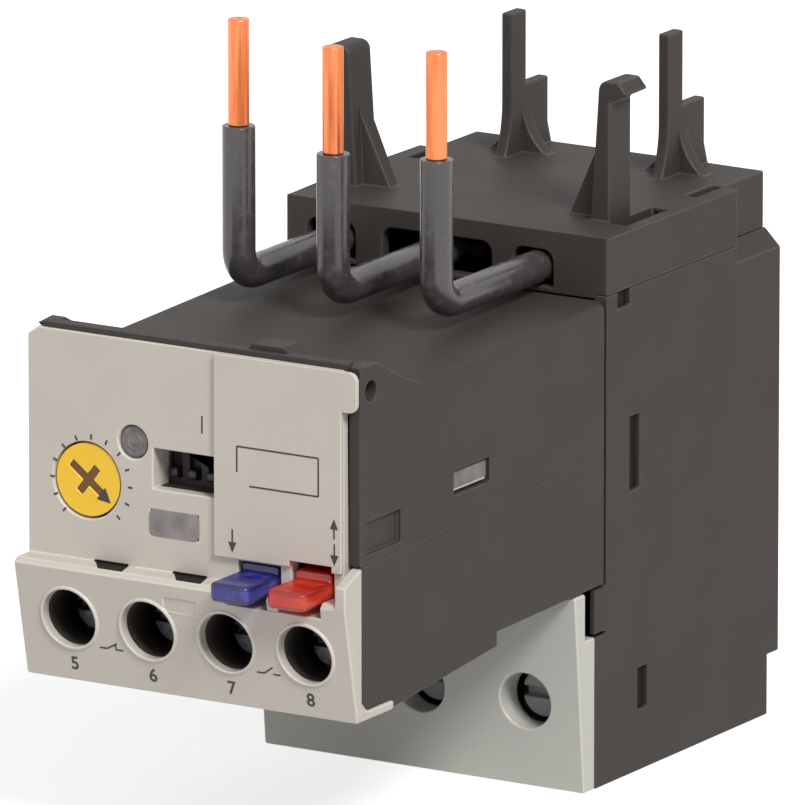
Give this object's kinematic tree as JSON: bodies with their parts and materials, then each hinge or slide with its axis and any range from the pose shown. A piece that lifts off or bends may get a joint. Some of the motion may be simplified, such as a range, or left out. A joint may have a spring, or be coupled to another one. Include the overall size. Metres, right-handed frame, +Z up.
{
  "type": "electronic overload relay",
  "caption": "Motor overload relay that hooks under a contactor: bent copper leads, screw terminals, setting dial, switches, reset and test levers, and a trip relay.",
  "frame": {"origin": "middle of the bounding box in X and Y, on the plane the relay stands on", "axes": "+X to the right seen from the front, +Y to the back, +Z up to the contactor"},
  "size_m": [0.045, 0.1036, 0.0924],
  "materials": {
    "dark_plastic": "moulded, fine grain",
    "light_plastic": "moulded, satin",
    "grey_plastic": "moulded, satin",
    "sleeve": "drawn, satin",
    "copper": "bare copper",
    "brass": "stamped",
    "blue_plastic": "moulded, translucent",
    "red_plastic": "moulded, translucent",
    "yellow_plastic": "moulded",
    "grey_lens": "moulded, smoky",
    "red_lamp": "moulded",
    "orange_plastic": "moulded",
    "black_plastic": "moulded",
    "white_plastic": "moulded",
    "steel": "zinc plated",
    "board": "laminate",
    "potting": "potted",
    "ribbon": "flat cable"
  },
  "bodies": {
    "case": {"rear_housing": "dark_plastic", "top_cap": "dark_plastic", "front_upper_shell": "dark_plastic", "front_lower_shell": "dark_plastic", "front_panel": "light_plastic", "option_cover_plate": "light_plastic", "load_terminal_cover": "grey_plastic", "lead_insulation_1": "sleeve", "lead_insulation_2": "sleeve", "lead_insulation_3": "sleeve", "lead_conductor_1": "copper", "lead_conductor_2": "copper", "lead_conductor_3": "copper", "phase_busbar_1": "copper", "phase_busbar_2": "copper", "phase_busbar_3": "copper", "relay_winding": "copper", "control_bar_1": "brass", "control_bar_2": "brass", "control_bar_3": "brass", "control_bar_4": "brass", "status_light_lens": "grey_lens", "trip_window": "grey_lens", "status_led": "red_lamp", "dip_switch_body": "black_plastic", "dial_potentiometer": "black_plastic", "relay_bobbin": "black_plastic", "storage_capacitor": "black_plastic", "load_clamps": "steel", "load_screws": "steel", "control_clamps": "steel", "control_screws": "steel", "relay_yoke": "steel", "relay_core": "steel", "reset_leaf_spring": "steel", "test_leaf_spring": "steel", "display_board": "board", "sensor_board": "board", "main_board": "board", "current_transformer_1": "potting", "current_transformer_2": "potting", "current_transformer_3": "potting", "board_link": "ribbon"},
    "reset": {"reset_lever": "blue_plastic"},
    "test": {"test_lever": "red_plastic"},
    "dial": {"current_dial": "yellow_plastic"},
    "slider_1": {"dip_slider_1": "white_plastic"},
    "slider_2": {"dip_slider_2": "white_plastic"},
    "slider_3": {"dip_slider_3": "white_plastic"},
    "slider_4": {"dip_slider_4": "white_plastic"},
    "trip_armature": {"armature": "steel"},
    "contacts": {"contact_carrier": "black_plastic", "nc_bridge": "copper", "no_bridge": "copper"},
    "indicator": {"trip_flag": "orange_plastic"}
  },
  "joints": [
    {"name": "reset_press", "type": "slide", "parent": "case", "child": "reset", "axis": [0, 0, -1], "range_m": [0, 0.001], "stiffness_N_per_m": 1500, "springref_m": -0.0003, "deforming": ["reset_leaf_spring"]},
    {"name": "test_toggle", "type": "slide", "parent": "case", "child": "test", "axis": [0, 0, 1], "range_m": [-0.0008, 0.0008], "stiffness_N_per_m": 1500, "deforming": ["test_leaf_spring"]},
    {"name": "dial_turn", "type": "hinge", "parent": "case", "child": "dial", "pos_m": [-0.01445, -0.044, 0.0443], "axis": [0, -1, 0], "range_deg": [0, 270]},
    {"name": "setting_1", "type": "slide", "parent": "case", "child": "slider_1", "axis": [0, 0, 1], "range_m": [0, 0.0019]},
    {"name": "setting_2", "type": "slide", "parent": "case", "child": "slider_2", "axis": [0, 0, 1], "range_m": [0, 0.0019]},
    {"name": "setting_3", "type": "slide", "parent": "case", "child": "slider_3", "axis": [0, 0, 1], "range_m": [0, 0.0019]},
    {"name": "setting_4", "type": "slide", "parent": "case", "child": "slider_4", "axis": [0, 0, 1], "range_m": [0, 0.0019]},
    {"name": "armature_swing", "type": "hinge", "parent": "case", "child": "trip_armature", "pos_m": [0, -0.0216, 0.0539], "axis": [1, 0, 0], "range_deg": [0, 5.2]},
    {"name": "contact_shift", "type": "slide", "parent": "case", "child": "contacts", "axis": [0, 1, 0], "range_m": [0, 0.0015]},
    {"name": "flag_rise", "type": "slide", "parent": "case", "child": "indicator", "axis": [0, 0, 1], "range_m": [0, 0.0015]}
  ],
  "couplings": [
    {"joint": "contact_shift", "follows": "armature_swing", "m_per_rad": 0.01645},
    {"joint": "flag_rise", "follows": "armature_swing", "m_per_rad": 0.01645}
  ]
}
